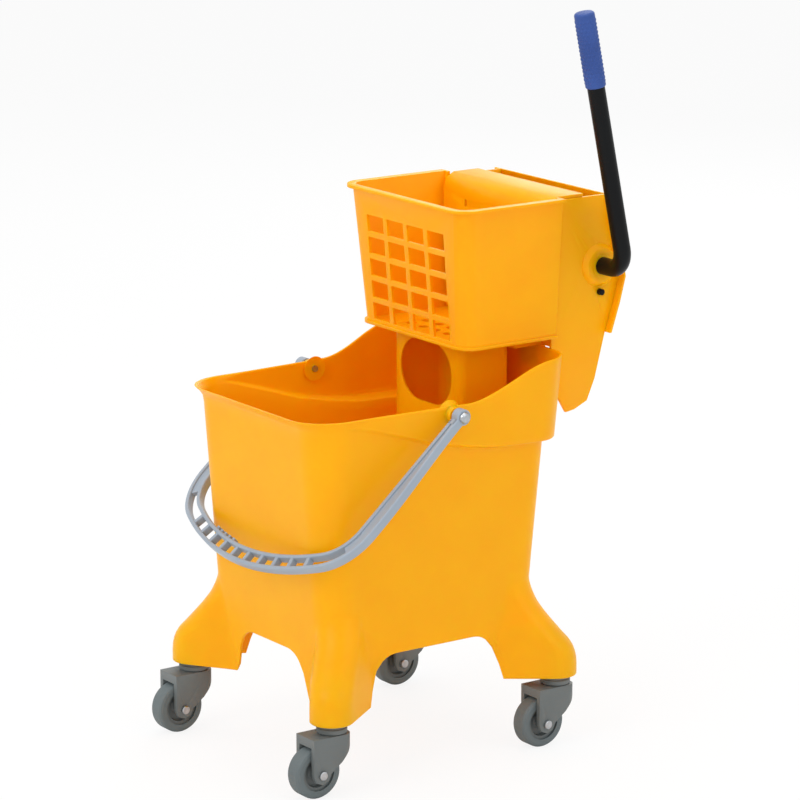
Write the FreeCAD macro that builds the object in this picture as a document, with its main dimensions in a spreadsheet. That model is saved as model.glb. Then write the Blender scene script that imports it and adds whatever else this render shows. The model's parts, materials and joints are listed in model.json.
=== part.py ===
import FreeCAD, Part
import math
import os
import Sketcher

# A janitor's mop bucket on four swivel casters, with a side-press wringer that lifts off.
# Frame: +Z up, floor at Z = 0, X = 0 on the bucket's plane of symmetry with +X on the lever side,
# Y = 0 midway between the front and rear casters, the pouring front towards -Y. Millimetres.

SIZES = {
    # casters
    "pivot_x": (156, "caster pivot from the plane of symmetry"),
    "pivot_y": (170, "caster pivot from the middle, front to back"),
    "wheel_radius": (32, "wheel over its tread"),
    "core_radius": (22, "wheel core, inside the tyre"),
    "tyre_width": (23, "tyre, side to side"),
    "core_width": (17, "wheel core, side to side"),
    "trail": (26.5, "axle behind the swivel axis"),
    "axle_radius": (3, "wheel bolt"),
    "fork_gap": (26, "between the fork cheeks"),
    "fork_cheek": (6.5, "thickness of a fork cheek"),
    "fork_top": (77.7, "height of the fork crown"),
    "fork_crown": (11.2, "thickness of the fork crown"),
    "collar_radius": (19, "swivel collar"),
    "collar_base": (78, "underside of the swivel collar"),
    "stem_radius": (5.5, "swivel stem"),
    "stem_top": (126, "top end of the swivel stem"),
    "running_gap": (0.05, "radial clearance of a turning fit"),
    "seat_gap": (0.3, "clearance where a moving piece rests or passes"),
    # tank
    "leg_base": (90, "underside of the legs"),
    "arch_top": (151, "top of the arches between the legs"),
    "floor_top": (156, "inside floor of the tank"),
    "wall": (3.5, "wall of the tank"),
    "base_half": (131.6, "half width of the tank at the legs' underside"),
    "base_front": (151.3, "front wall from the middle, at the legs' underside"),
    "base_rear": (147, "rear wall from the middle, at the legs' underside"),
    "flare_start": (438, "height where the rim begins to flare"),
    "flare_half": (145.3, "half width of the tank below the flare"),
    "flare_front": (178, "front wall below the flare"),
    "flare_rear": (174.8, "rear wall below the flare"),
    "rim_front_height": (457, "rim height at the front"),
    "rim_rear_height": (497.5, "rim height at the rear"),
    "rim_half": (150, "half width over the rim"),
    "rim_front": (191, "front lip from the middle"),
    "base_corner": (30, "corner radius at the base"),
    "rim_corner": (52, "front corner radius at the rim"),
    "band_half": (162, "half width over the rear band"),
    "band_rear": (190, "rear band from the middle"),
    "band_base": (392, "lower edge of the rear band"),
    "band_corner": (24, "corner radius of the rear band"),
    # legs
    "leg_radius": (27, "round end of a leg about the stem"),
    "leg_inner": (66, "leg's reach inwards from the stem"),
    "leg_top": (204, "height where the leg meets the corner"),
    "socket_radius": (13, "boss round the stem's socket"),
    "front_arch_half": (79, "half width of the front arch at the legs"),
    "side_arch_half": (99, "half length of the side arch at the legs"),
    # bail
    "bail_pivot_y": (11, "bail pivot, front to back"),
    "bail_pivot_z": (447, "bail pivot height"),
    "bail_drop": (41, "bail below the horizontal where it rests, degrees"),
    "bail_inner": (165, "half width inside the bail"),
    "bail_reach": (263, "pivot to the inside of the hand rail"),
    "bail_bow": (330, "radius of the bowed hand rail"),
    "bail_bend": (50, "inside radius of the bail's corners"),
    "bail_arm": (13, "width of the bail's arm"),
    "bail_rail": (23, "width of the bail's hand rail"),
    "bail_depth": (12, "thickness of the bail"),
    "bail_pin": (4, "radius of the bail's pivot pin"),
    # wringer
    "basket_base": (509, "underside of the wringer basket"),
    "basket_top": (688, "rim of the wringer basket"),
    "basket_wall": (4, "wall of the basket"),
    "basket_base_half": (112.6, "half width of the basket at its base"),
    "basket_top_half": (124, "half width of the basket at its top"),
    "basket_base_front": (60, "front wall of the basket at its base"),
    "basket_top_front": (45, "front wall of the basket at its top"),
    "basket_rear": (200, "rear end of the basket's side walls"),
    "basket_corner": (22, "front corner radius of the basket"),
    "lip_reach": (7, "basket lip beyond its wall"),
    "cheek_inner": (108, "inside of the cheeks from the plane of symmetry"),
    "cheek_wall": (4, "thickness of the cheeks"),
    "cheek_top": (683.8, "top edge of the cheeks"),
    "skirt_half": (72, "half width of the drain skirt"),
    "skirt_front": (81, "front of the drain skirt"),
    "skirt_rear": (160, "rear of the drain skirt"),
    "skirt_base": (380, "lower edge of the drain skirt"),
    "skirt_wall": (3, "wall of the drain skirt"),
    "hole_wide": (35, "width of a front drain hole"),
    "hole_tall": (21.5, "height of a front drain hole"),
    "hole_pitch_x": (43, "spacing of the drain holes across"),
    "hole_pitch_z": (28.5, "spacing of the drain holes up"),
    # press and lever
    "shaft_y": (267, "lever shaft, front to back"),
    "shaft_z": (595, "lever shaft height"),
    "lever_radius": (11, "outside of the lever tube"),
    "lever_wall": (2, "wall of the lever tube"),
    "lever_lean": (12, "lever's forward lean at rest, degrees"),
    "lever_plane": (165, "lever arm from the plane of symmetry"),
    "lever_bend": (30, "centreline radius of the lever's bend"),
    "lever_length": (333, "shaft to the lever's top end"),
    "grip_radius": (13.3, "outside of the grip"),
    "grip_length": (95, "length of the grip"),
    "bush_radius": (14, "outside of the shaft bush"),
    "boss_base": (27, "radius of the shaft boss at the cheek"),
    "boss_tip": (22, "radius of the shaft boss at its tip"),
    "boss_height": (7, "height of the shaft boss"),
    "plate_front": (187, "face of the press plate at rest"),
    "plate_wall": (4.5, "thickness of the press plate"),
    "plate_base_half": (105, "half width of the press plate at its foot"),
    "plate_top_half": (110, "half width of the press plate at its top"),
    "plate_foot": (516, "foot of the press plate"),
    "flange_rear": (242, "rear edge of the plate's top flange"),
    "cam_radius": (56, "shaft to cam roller"),
    "cam_angle": (12, "cam behind the vertical at rest, degrees"),
    "cam_lead": (4.4, "free gap between roller and push pad at rest"),
    "roller_radius": (7, "cam roller"),
    "rivet_radius": (3, "rivet that carries a cam roller"),
    "push_x": (61, "push arm from the plane of symmetry"),
    "push_width": (12, "width of a push arm"),
    "anchor_z": (560.6, "height of the spring anchor pin"),
    "anchor_radius": (4, "spring anchor pin"),
    "spring_x": (84, "return spring from the plane of symmetry"),
    "spring_radius": (6, "return spring"),
    "cover_wall": (3, "thickness of the rear cover"),
    "cover_half": (122, "half width of the rear cover"),
}

SIDES = {"left": -1, "right": 1}
CORNERS = {"fl": (-1, -1), "fr": (1, -1), "rl": (-1, 1), "rr": (1, 1)}
FAR = 600


class Size:
    """A number with the sheet expression that works it out, so that both stay in step."""

    def __init__(self, value, text):
        self.value = float(value)
        self.text = text

    def joined(self, other, sign, value):
        return Size(value, "(%s %s %s)" % (self.text, sign, sized(other).text))

    def __add__(self, other):
        return self.joined(other, "+", self.value + sized(other).value)

    def __sub__(self, other):
        return self.joined(other, "-", self.value - sized(other).value)

    def __mul__(self, other):
        return self.joined(other, "*", self.value * sized(other).value)

    def __truediv__(self, other):
        return self.joined(other, "/", self.value / sized(other).value)

    def __rsub__(self, other):
        return sized(other) - self

    def __neg__(self):
        return Size(-self.value, "(-1 * %s)" % self.text)


def sized(number):
    """A plain number as a Size; a Size stays as it is."""
    if isinstance(number, Size):
        return number
    return Size(number, "(%r)" % number if number < 0 else repr(number))


def dim(alias):
    """The named size from the sheet."""
    return Size(SIZES[alias][0], "Dims." + alias)


def make_sheet(doc):
    """The sheet of driving dimensions, one row each: name, value, meaning."""
    sheet = doc.addObject("Spreadsheet::Sheet", "Dims")
    for row, (alias, (value, meaning)) in enumerate(SIZES.items(), start=1):
        sheet.set("A%d" % row, alias)
        sheet.set("B%d" % row, repr(value))
        sheet.setAlias("B%d" % row, alias)
        sheet.set("C%d" % row, meaning)
    doc.recompute()


# ---------------------------------------------------------------- sketches and features


def new_body(doc, label):
    body = doc.addObject("PartDesign::Body", label)
    body.Label = label
    return body


def sketch_on(body, name, role, offset=0):
    """A sketch on one of the body's own origin planes, moved along that plane's normal."""
    sketch = body.newObject("Sketcher::SketchObject", name)
    plane = [item for item in body.Origin.OriginFeatures if item.Role == role][0]
    sketch.AttachmentSupport = [(plane, "")]
    sketch.MapMode = "FlatFace"
    offset = sized(offset)
    sketch.AttachmentOffset = FreeCAD.Placement(FreeCAD.Vector(0, 0, offset.value), FreeCAD.Rotation())
    sketch.setExpression("AttachmentOffset.Base.z", offset.text)
    return sketch


def bind(sketch, kind, size, *where):
    """Add one dimension to a sketch and tie it to the sheet."""
    size = sized(size)
    index = sketch.addConstraint(Sketcher.Constraint(kind, *where, size.value))
    sketch.setExpression("Constraints[%d]" % index, size.text)


def polygon(sketch, points):
    """A closed outline of straight lines through the points, each corner placed by two dimensions."""
    points = [(sized(x), sized(y)) for x, y in points]
    spots = [FreeCAD.Vector(x.value, y.value, 0) for x, y in points]
    first = sketch.GeometryCount
    for index, spot in enumerate(spots):
        follower = spots[(index + 1) % len(spots)]
        sketch.addGeometry(Part.LineSegment(spot, follower), False)
    for index, (x, y) in enumerate(points):
        line = first + index
        before = first + (index - 1) % len(points)
        sketch.addConstraint(Sketcher.Constraint("Coincident", before, 2, line, 1))
        bind(sketch, "DistanceX", x, -1, 1, line, 1)
        bind(sketch, "DistanceY", y, -1, 1, line, 1)
    return sketch


def circle(sketch, x, y, radius):
    x, y, radius = sized(x), sized(y), sized(radius)
    centre = FreeCAD.Vector(x.value, y.value, 0)
    ring = sketch.addGeometry(Part.Circle(centre, FreeCAD.Vector(0, 0, 1), radius.value), False)
    bind(sketch, "Radius", radius, ring)
    bind(sketch, "DistanceX", x, -1, 1, ring, 3)
    bind(sketch, "DistanceY", y, -1, 1, ring, 3)
    return sketch


def rounded_box(sketch, left, right, low, high, low_radius, high_radius):
    """A rectangle with tangent corner arcs: one radius at the low edge, one at the high edge."""
    left, right, low, high = [sized(edge) for edge in (left, right, low, high)]
    radii = [sized(low_radius), sized(low_radius), sized(high_radius), sized(high_radius)]
    x1, x2, y1, y2 = left.value, right.value, low.value, high.value
    spots = [(x2, y1, -1, 1), (x2, y2, -1, -1), (x1, y2, 1, -1), (x1, y1, 1, 1)]
    turns = [radii[1], radii[2], radii[3], radii[0]]
    lines, arcs = [], []
    corner = [(x + sx * r.value, y + sy * r.value) for (x, y, sx, sy), r in zip(spots, turns)]
    ends = [
        ((corner[3][0], y1), (corner[0][0], y1)),
        ((x2, corner[0][1]), (x2, corner[1][1])),
        ((corner[1][0], y2), (corner[2][0], y2)),
        ((x1, corner[2][1]), (x1, corner[3][1])),
    ]
    for side, (start, end) in enumerate(ends):
        line = Part.LineSegment(FreeCAD.Vector(*start, 0), FreeCAD.Vector(*end, 0))
        lines.append(sketch.addGeometry(line, False))
        centre = FreeCAD.Vector(*corner[side], 0)
        ring = Part.Circle(centre, FreeCAD.Vector(0, 0, 1), turns[side].value)
        begin = math.radians(90 * side - 90)
        arcs.append(sketch.addGeometry(Part.ArcOfCircle(ring, begin, begin + math.pi / 2), False))
    for side in range(4):
        after = lines[(side + 1) % 4]
        sketch.addConstraint(Sketcher.Constraint("Tangent", lines[side], 2, arcs[side], 1))
        sketch.addConstraint(Sketcher.Constraint("Tangent", arcs[side], 2, after, 1))
        sketch.addConstraint(Sketcher.Constraint(("Horizontal", "Vertical")[side % 2], lines[side]))
        bind(sketch, "Radius", turns[side], arcs[side])
    for side, edge in enumerate((low, right, high, left)):
        bind(sketch, ("DistanceY", "DistanceX")[side % 2], edge, -1, 1, lines[side], 1)
    return sketch


def pad(body, sketch, length, middle=False, back=False):
    feature = body.newObject("PartDesign::Pad", sketch.Name + "_pad")
    feature.Profile = sketch
    length = sized(length)
    feature.Length = length.value
    feature.setExpression("Length", length.text)
    feature.Midplane = middle
    feature.Reversed = back
    return feature


def pocket(body, sketch, length=FAR, middle=True, back=False):
    feature = body.newObject("PartDesign::Pocket", sketch.Name + "_pocket")
    feature.Profile = sketch
    length = sized(length)
    feature.Length = length.value
    feature.setExpression("Length", length.text)
    feature.Midplane = middle
    feature.Reversed = back
    return feature


def loft(body, name, sections):
    feature = body.newObject("PartDesign::AdditiveLoft", name)
    feature.Profile = sections[0]
    feature.Sections = sections[1:]
    feature.Ruled = True
    return feature


def revolve(body, sketch):
    """Turn the sketch a full turn about its own horizontal axis."""
    feature = body.newObject("PartDesign::Revolution", sketch.Name + "_turned")
    feature.Profile = sketch
    feature.ReferenceAxis = (sketch, ["H_Axis"])
    feature.Angle = 360
    return feature


def soften(body, pick, radius, name):
    """Round the edges that pick(edge) chooses on the body's last feature."""
    body.Document.recompute()
    base = body.Tip
    edges = ["Edge%d" % n for n, edge in enumerate(base.Shape.Edges, start=1) if pick(edge)]
    feature = body.newObject("PartDesign::Fillet", name)
    feature.Base = (base, edges)
    radius = sized(radius)
    feature.Radius = radius.value
    feature.setExpression("Radius", radius.text)
    return feature


def place(obj, x, y, z, turn_axis=None, turn=0):
    """Put an object in the frame, its place tied to the sheet."""
    x, y, z, turn = sized(x), sized(y), sized(z), sized(turn)
    axis = FreeCAD.Vector(*(turn_axis or (0, 0, 1)))
    spot = FreeCAD.Vector(x.value, y.value, z.value)
    obj.Placement = FreeCAD.Placement(spot, FreeCAD.Rotation(axis, turn.value))
    obj.setExpression("Placement.Base.x", x.text)
    obj.setExpression("Placement.Base.y", y.text)
    obj.setExpression("Placement.Base.z", z.text)
    if turn_axis:
        obj.setExpression("Placement.Rotation.Angle", turn.text)
    return obj


def turned(doc, label, steps, bore=None):
    """A turned piece about its own X axis: steps are (x, radius) corners from one end to the other."""
    body = new_body(doc, label)
    inner = sized(0) if bore is None else sized(bore)
    outline = [(steps[0][0], inner)] + list(steps) + [(steps[-1][0], inner)]
    revolve(body, polygon(sketch_on(body, label + "_outline", "XY_Plane"), outline))
    return body


def joined(doc, label, base, extras):
    result = doc.addObject("Part::MultiFuse", label)
    result.Shapes = [base] + extras
    return result


def cut(doc, label, base, tools):
    """The base less all the tools."""
    tool = tools[0]
    if len(tools) > 1:
        tool = doc.addObject("Part::MultiFuse", label + "_tools")
        tool.Shapes = tools
    result = doc.addObject("Part::Cut", label)
    result.Base = base
    result.Tool = tool
    result.Label = label
    return result


# ---------------------------------------------------------------- tank


def band_edge(lift):
    """The rear band's lower edge, seen from the side, rising towards the front."""
    base = dim("band_base") + lift
    rises = ((194, 0), (80, 3), (31, 10), (-17, 20), (-60, 34), (-112, 50), (-135, 54))
    return [(y, base + rise) for y, rise in rises]


def rim_edge():
    """The tank's top edge, seen from the side: level at the front, then an S up to the rear."""
    front, rear = dim("rim_front_height"), dim("rim_rear_height")
    swing = rear - front
    shares = ((30, 0), (58, 0.07), (84, 0.22), (110, 0.49), (131, 0.76), (145, 0.93), (158, 1))
    return [(-FAR / 2, front)] + [(y, front + swing * share) for y, share in shares] + [(FAR / 2, rear)]


def wall_section(body, name, height, inset, half, front, rear, front_corner, rear_corner):
    sketch = sketch_on(body, name, "XY_Plane", height)
    half, front, rear = half - inset, front - inset, rear - inset
    return rounded_box(sketch, -half, half, -front, rear, front_corner - inset, rear_corner - inset)


def tank_form(doc, label, inset, base, top):
    """The tank's walls as a solid, moved inwards by inset: the rear band first, then the body."""
    inset = sized(inset)
    body = new_body(doc, label)
    half, rear = dim("band_half") - inset, dim("band_rear") - inset
    narrow = dim("rim_half") - inset
    sides = [(narrow, -135), (narrow + 3, 10), (half, 100), (half, rear)]
    outline = sides + [(-x, y) for x, y in reversed(sides)]
    band = polygon(sketch_on(body, label + "_band", "XY_Plane", dim("band_base") - 5), outline)
    pad(body, band, sized(top) - dim("band_base") + 5)
    upright = lambda edge: abs(edge.tangentAt(edge.FirstParameter).z) > 0.99
    at_rear = lambda edge: upright(edge) and edge.CenterOfMass.y > rear.value - 1
    soften(body, at_rear, dim("band_corner") - inset, label + "_band_corners")
    under = polygon(
        sketch_on(body, label + "_band_under", "YZ_Plane"),
        band_edge(inset) + [(-150, dim("band_base") - 20), (FAR / 2, dim("band_base") - 20),
                            (FAR / 2, dim("band_base") + inset)],
    )
    pocket(body, under)
    corner, rim_corner = dim("base_corner"), dim("rim_corner")
    rise = (dim("flare_start") - dim("leg_base"))
    share = (sized(base) - dim("leg_base")) / rise
    start = [dim("base_" + side) + (dim("flare_" + side) - dim("base_" + side)) * share
             for side in ("half", "front", "rear")]
    middle = [dim("flare_" + side) for side in ("half", "front", "rear")]
    brim = [dim("rim_half"), dim("rim_front"), dim("flare_rear")]
    sections = [
        wall_section(body, label + "_foot", base, inset, *start, corner, corner),
        wall_section(body, label + "_shoulder", dim("flare_start"), inset, *middle, corner + 12, corner),
        wall_section(body, label + "_brim", dim("rim_front_height"), inset, *brim, rim_corner, corner),
        wall_section(body, label + "_top", top, inset, *brim, rim_corner, corner),
    ]
    loft(body, label + "_walls", sections)
    return body


def tank_outside(doc):
    """The closed outside of the tank, with its S-shaped rim and the arches between the legs."""
    body = tank_form(doc, "tank_outside", 0, dim("leg_base"), dim("rim_rear_height") + 10)
    above = polygon(
        sketch_on(body, "rim_line", "YZ_Plane"),
        rim_edge() + [(FAR / 2, dim("rim_rear_height") + 60), (-FAR / 2, dim("rim_rear_height") + 60)],
    )
    pocket(body, above)
    crown, low = dim("arch_top"), dim("leg_base") - 1
    for name, role in (("front_arch", "XZ_Plane"), ("side_arch", "YZ_Plane")):
        foot = dim(name + "_half")
        right = [(foot, low), (foot - 4, crown - 34), (foot - 12, crown - 14), (foot - 31, crown)]
        outline = right + [(-x, z) for x, z in reversed(right)]
        pocket(body, polygon(sketch_on(body, name, role), outline))
    return body


def under_space(doc):
    """The open space under the tank's floor, inside the skirt walls."""
    body = new_body(doc, "under_space")
    wall = dim("wall")
    low, high = dim("leg_base") - 1, dim("floor_top") - 4
    sections = []
    for name, height in (("under_low", low), ("under_high", high)):
        args = [dim("base_" + side) for side in ("half", "front", "rear")]
        sections.append(wall_section(body, name, height, wall, *args, dim("base_corner"), dim("base_corner")))
    loft(body, "under_loft", sections)
    return body


def leg_form(doc, label, inset, top, signs):
    """A diagonal leg about the swivel stem, moved inwards by inset, with a sloping back."""
    body = new_body(doc, label)
    inset = sized(inset)
    radius, inner = dim("leg_radius") - inset, dim("leg_inner") - inset
    base = dim("leg_base") - inset * 0.5
    plan = rounded_box(
        sketch_on(body, label + "_plan", "XY_Plane", base), -radius, radius, -inner, radius, 1, radius - 0.2
    )
    pad(body, plan, sized(top) - base)
    high = dim("leg_top") - inset
    slope = [(-38, 0), (-29, -13), (-13, -37), (7, -61), (18, -72), (24, -82), (27, -95)]
    outline = [(sized(t) - inset, high + drop) for t, drop in slope]
    outline += [(FAR / 8, high - 95), (FAR / 8, high + 60), (-38, high + 60)]
    pocket(body, polygon(sketch_on(body, label + "_slope", "YZ_Plane"), outline))
    sx, sy = signs
    angle = {(1, 1): -45, (-1, 1): 45, (-1, -1): 135, (1, -1): -135}[signs]
    place(body, dim("pivot_x") * sx, dim("pivot_y") * sy, 0, (0, 0, 1), angle)
    return body


def upright_cylinder(doc, label, x, y, low, high, radius):
    rod = doc.addObject("Part::Cylinder", label)
    rod.Radius, rod.Height = sized(radius).value, sized(high).value - sized(low).value
    rod.setExpression("Radius", sized(radius).text)
    rod.setExpression("Height", (sized(high) - low).text)
    return place(rod, x, y, low)


def cross_cylinder(doc, label, start, end, y, z, radius):
    """A cylinder along X from start to end."""
    start, end = sized(start), sized(end)
    rod = doc.addObject("Part::Cylinder", label)
    rod.Radius, rod.Height = sized(radius).value, end.value - start.value
    rod.setExpression("Radius", sized(radius).text)
    rod.setExpression("Height", (end - start).text)
    return place(rod, start, y, z, (0, 1, 0), 90)


def box(doc, label, x, y, z):
    """A block between two limits along each axis."""
    block = doc.addObject("Part::Box", label)
    lows = []
    for name, (low, high) in zip(("Length", "Width", "Height"), (x, y, z)):
        low, high = sized(low), sized(high)
        setattr(block, name, high.value - low.value)
        block.setExpression(name, (high - low).text)
        lows.append(low)
    return place(block, *lows)


def spread(sign, near, far):
    """The limits near and far on one side of the plane of symmetry, lowest first."""
    near, far = sized(near), sized(far)
    return (near, far) if sign > 0 else (-far, -near)


def both(reach):
    """The limits that reach equally far to both sides of the plane of symmetry."""
    return (-reach, reach)


def bucket_tank(doc):
    """The moulded tank: walls, rear band and legs, hollowed inside and underneath, with sockets and bail ears."""
    solids, holes = [], []
    wall, gap = dim("wall"), dim("running_gap")
    holes.append(tank_form(doc, "tank_inside", wall, dim("floor_top"), dim("rim_rear_height") + 20))
    holes.append(under_space(doc))
    bosses, sockets = [], []
    for name, (sx, sy) in CORNERS.items():
        solids.append(leg_form(doc, "leg_" + name, 0, dim("leg_top"), (sx, sy)))
        holes.append(leg_form(doc, "leg_space_" + name, wall, dim("floor_top") - 6, (sx, sy)))
        x, y = dim("pivot_x") * sx, dim("pivot_y") * sy
        bosses.append(upright_cylinder(
            doc, "socket_boss_" + name, x, y, dim("leg_base"), dim("stem_top") + 7, dim("socket_radius")))
        sockets.append(upright_cylinder(
            doc, "socket_" + name, x, y, dim("leg_base") - 2, dim("stem_top") + 2, dim("stem_radius") + gap))
    ears = []
    for side, sign in SIDES.items():
        y, z = dim("bail_pivot_y"), dim("bail_pivot_z")
        reach = spread(sign, dim("rim_half") - 2, dim("bail_inner") - 4)
        ears.append(cross_cylinder(doc, "bail_ear_" + side, *reach, y, z, 9.5))
        bore = spread(sign, dim("rim_half") - 8, dim("bail_inner") + 2)
        sockets.append(cross_cylinder(doc, "bail_ear_bore_" + side, *bore, y, z, dim("bail_pin")))
    shell = cut(doc, "tank_shell", joined(doc, "tank_solid", tank_outside(doc), solids), holes)
    return cut(doc, "bucket_tank", joined(doc, "tank_with_bosses", shell, bosses + ears), sockets)


# ---------------------------------------------------------------- casters


def caster_stem(doc, label, x, y):
    """A steel stem with a flat head that carries the fork and a groove for its grip ring."""
    radius, head_top = dim("stem_radius"), dim("fork_top") - dim("fork_crown") - dim("seat_gap")
    top = dim("stem_top")
    steps = [
        (head_top - 4.5, 8), (head_top, 8), (head_top, radius), (top - 12, radius), (top - 12, radius - 1),
        (top - 10, radius - 1), (top - 10, radius), (top - 2, radius), (top, radius - 1.5),
    ]
    return place(turned(doc, label, steps), x, y, 0, (0, 1, 0), -90)


def caster_collar(doc, label, x, y):
    """The fixed upper race of the swivel, under the leg."""
    low, high, radius = dim("collar_base"), dim("leg_base"), dim("collar_radius")
    steps = [
        (low, radius - 1), (low + 1, radius), (high - 6, radius), (high - 5, radius - 1.5), (high, radius - 1.5),
    ]
    return place(turned(doc, label, steps, dim("stem_radius")), x, y, 0, (0, 1, 0), -90)


def caster_fork(doc, label, x, y):
    """The swivelling fork: two cheeks, a crown and a closed back, trailing towards the front."""
    body = new_body(doc, label)
    top, trail, axle = dim("fork_top"), -dim("trail"), dim("wheel_radius")
    width = dim("fork_gap") + dim("fork_cheek") * 2
    collar = dim("collar_radius")
    side = [
        (trail - 12, top), (trail - 12, axle), (trail - 8.5, axle - 8.5), (trail, axle - 12),
        (trail + 8.5, axle - 8.5), (trail + 13, axle), (trail + 29, axle + 12), (collar - 6, axle + 24),
        (collar, axle + 34), (collar, top),
    ]
    pad(body, polygon(sketch_on(body, label + "_side", "YZ_Plane"), side), width, middle=True)
    upright = lambda edge: abs(edge.tangentAt(edge.FirstParameter).z) > 0.99
    at_back = lambda edge: upright(edge) and edge.CenterOfMass.y > collar.value - 1
    soften(body, at_back, 12, label + "_back")
    crown = top - dim("fork_crown")
    slot = [(-60, -1), (10, -1), (10, crown), (-60, crown)]
    pocket(body, polygon(sketch_on(body, label + "_slot", "YZ_Plane"), slot), dim("fork_gap"))
    turning_fit = dim("stem_radius") + dim("running_gap")
    pocket(body, circle(sketch_on(body, label + "_stem_hole", "XY_Plane"), 0, 0, turning_fit))
    bolt = circle(sketch_on(body, label + "_bolt_hole", "YZ_Plane"), trail, axle, dim("axle_radius"))
    pocket(body, bolt)
    return place(body, x, y, 0)


def wheel_core(doc, label, x, y):
    """The hard wheel centre: hub, thin web and rim."""
    half, radius = dim("core_width") / 2, dim("core_radius")
    hub = dim("fork_gap") / 2 - 0.5
    steps = [
        (-hub, 6.5), (-4, 7.5), (-2.5, 10), (-2.5, radius - 5), (-half, radius - 4), (-half, radius),
        (half, radius), (half, radius - 4), (2.5, radius - 5), (2.5, 10), (4, 7.5), (hub, 6.5),
    ]
    body = turned(doc, label, steps, dim("axle_radius") + dim("running_gap"))
    return place(body, x, y - dim("trail"), dim("wheel_radius"))


def tyre(doc, label, x, y):
    half, radius = dim("tyre_width") / 2, dim("wheel_radius")
    core = dim("core_radius")
    steps = [
        (-half, radius - 4), (-half + 1, radius - 1.5), (-half + 3.5, radius),
        (half - 3.5, radius), (half - 1, radius - 1.5), (half, radius - 4),
    ]
    return place(turned(doc, label, steps, core), x, y - dim("trail"), dim("wheel_radius"))


def fork_outside():
    return dim("fork_gap") / 2 + dim("fork_cheek")


def axle_bolt(doc, label, x, y):
    """The wheel's bolt, with its head on the +X side and its thread end through the nut."""
    face, radius = fork_outside(), dim("axle_radius")
    steps = [
        (-face - 7, radius - 0.8), (-face - 6, radius), (face, radius), (face, 5.4), (face + 3, 5.4), (face + 3.8, 4.4),
    ]
    return place(turned(doc, label, steps), x, y - dim("trail"), dim("wheel_radius"))


def axle_nut(doc, label, x, y):
    body = new_body(doc, label)
    sketch = sketch_on(body, label + "_hexagon", "YZ_Plane", -fork_outside() - 5)
    corners = [(5.8 * math.cos(math.radians(60 * n)), 5.8 * math.sin(math.radians(60 * n))) for n in range(6)]
    polygon(sketch, [(round(a, 4), round(b, 4)) for a, b in corners])
    circle(sketch, 0, 0, dim("axle_radius"))
    pad(body, sketch, 5)
    return place(body, x, y - dim("trail"), dim("wheel_radius"))


def casters(doc):
    parts = []
    for name, (sx, sy) in CORNERS.items():
        x, y = dim("pivot_x") * sx, dim("pivot_y") * sy
        for make in (caster_stem, caster_collar, caster_fork, wheel_core, tyre, axle_bolt, axle_nut):
            parts.append(make(doc, make.__name__ + "_" + name, x, y))
    return parts


# ---------------------------------------------------------------- bail handle


def bail_path(offset, low):
    """Half of one edge of the bail, from the arm's end to the middle: straight arm, bend, bowed rail."""
    value = lambda alias: SIZES[alias][0]
    inner, reach, bow = value("bail_inner"), value("bail_reach"), value("bail_bow")
    bend = value("bail_bend")
    centre_y = reach - bow
    corner_x = inner - bend
    corner_y = centre_y + math.sqrt((bow - bend) ** 2 - corner_x ** 2)
    toward = math.atan2(corner_y - centre_y, corner_x)
    start = FreeCAD.Vector(inner + offset[0], low, 0)
    side = FreeCAD.Vector(inner + offset[1], corner_y, 0)
    centre = FreeCAD.Vector(corner_x, corner_y, 0)
    radius = bend + offset[1]
    middle = toward / 2
    at = lambda angle: centre + FreeCAD.Vector(math.cos(angle), math.sin(angle), 0) * radius
    big = bow + offset[1]
    top = FreeCAD.Vector(0, centre_y + big, 0)
    half_way = (toward + math.pi / 2) / 2
    bowed = FreeCAD.Vector(big * math.cos(half_way), centre_y + big * math.sin(half_way), 0)
    return [
        Part.LineSegment(start, side).toShape(),
        Part.Arc(side, at(middle), at(toward)).toShape(),
        Part.Arc(at(toward), bowed, top).toShape(),
    ]


def mirrored(shape):
    return shape.mirror(FreeCAD.Vector(0, 0, 0), FreeCAD.Vector(1, 0, 0))


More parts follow.
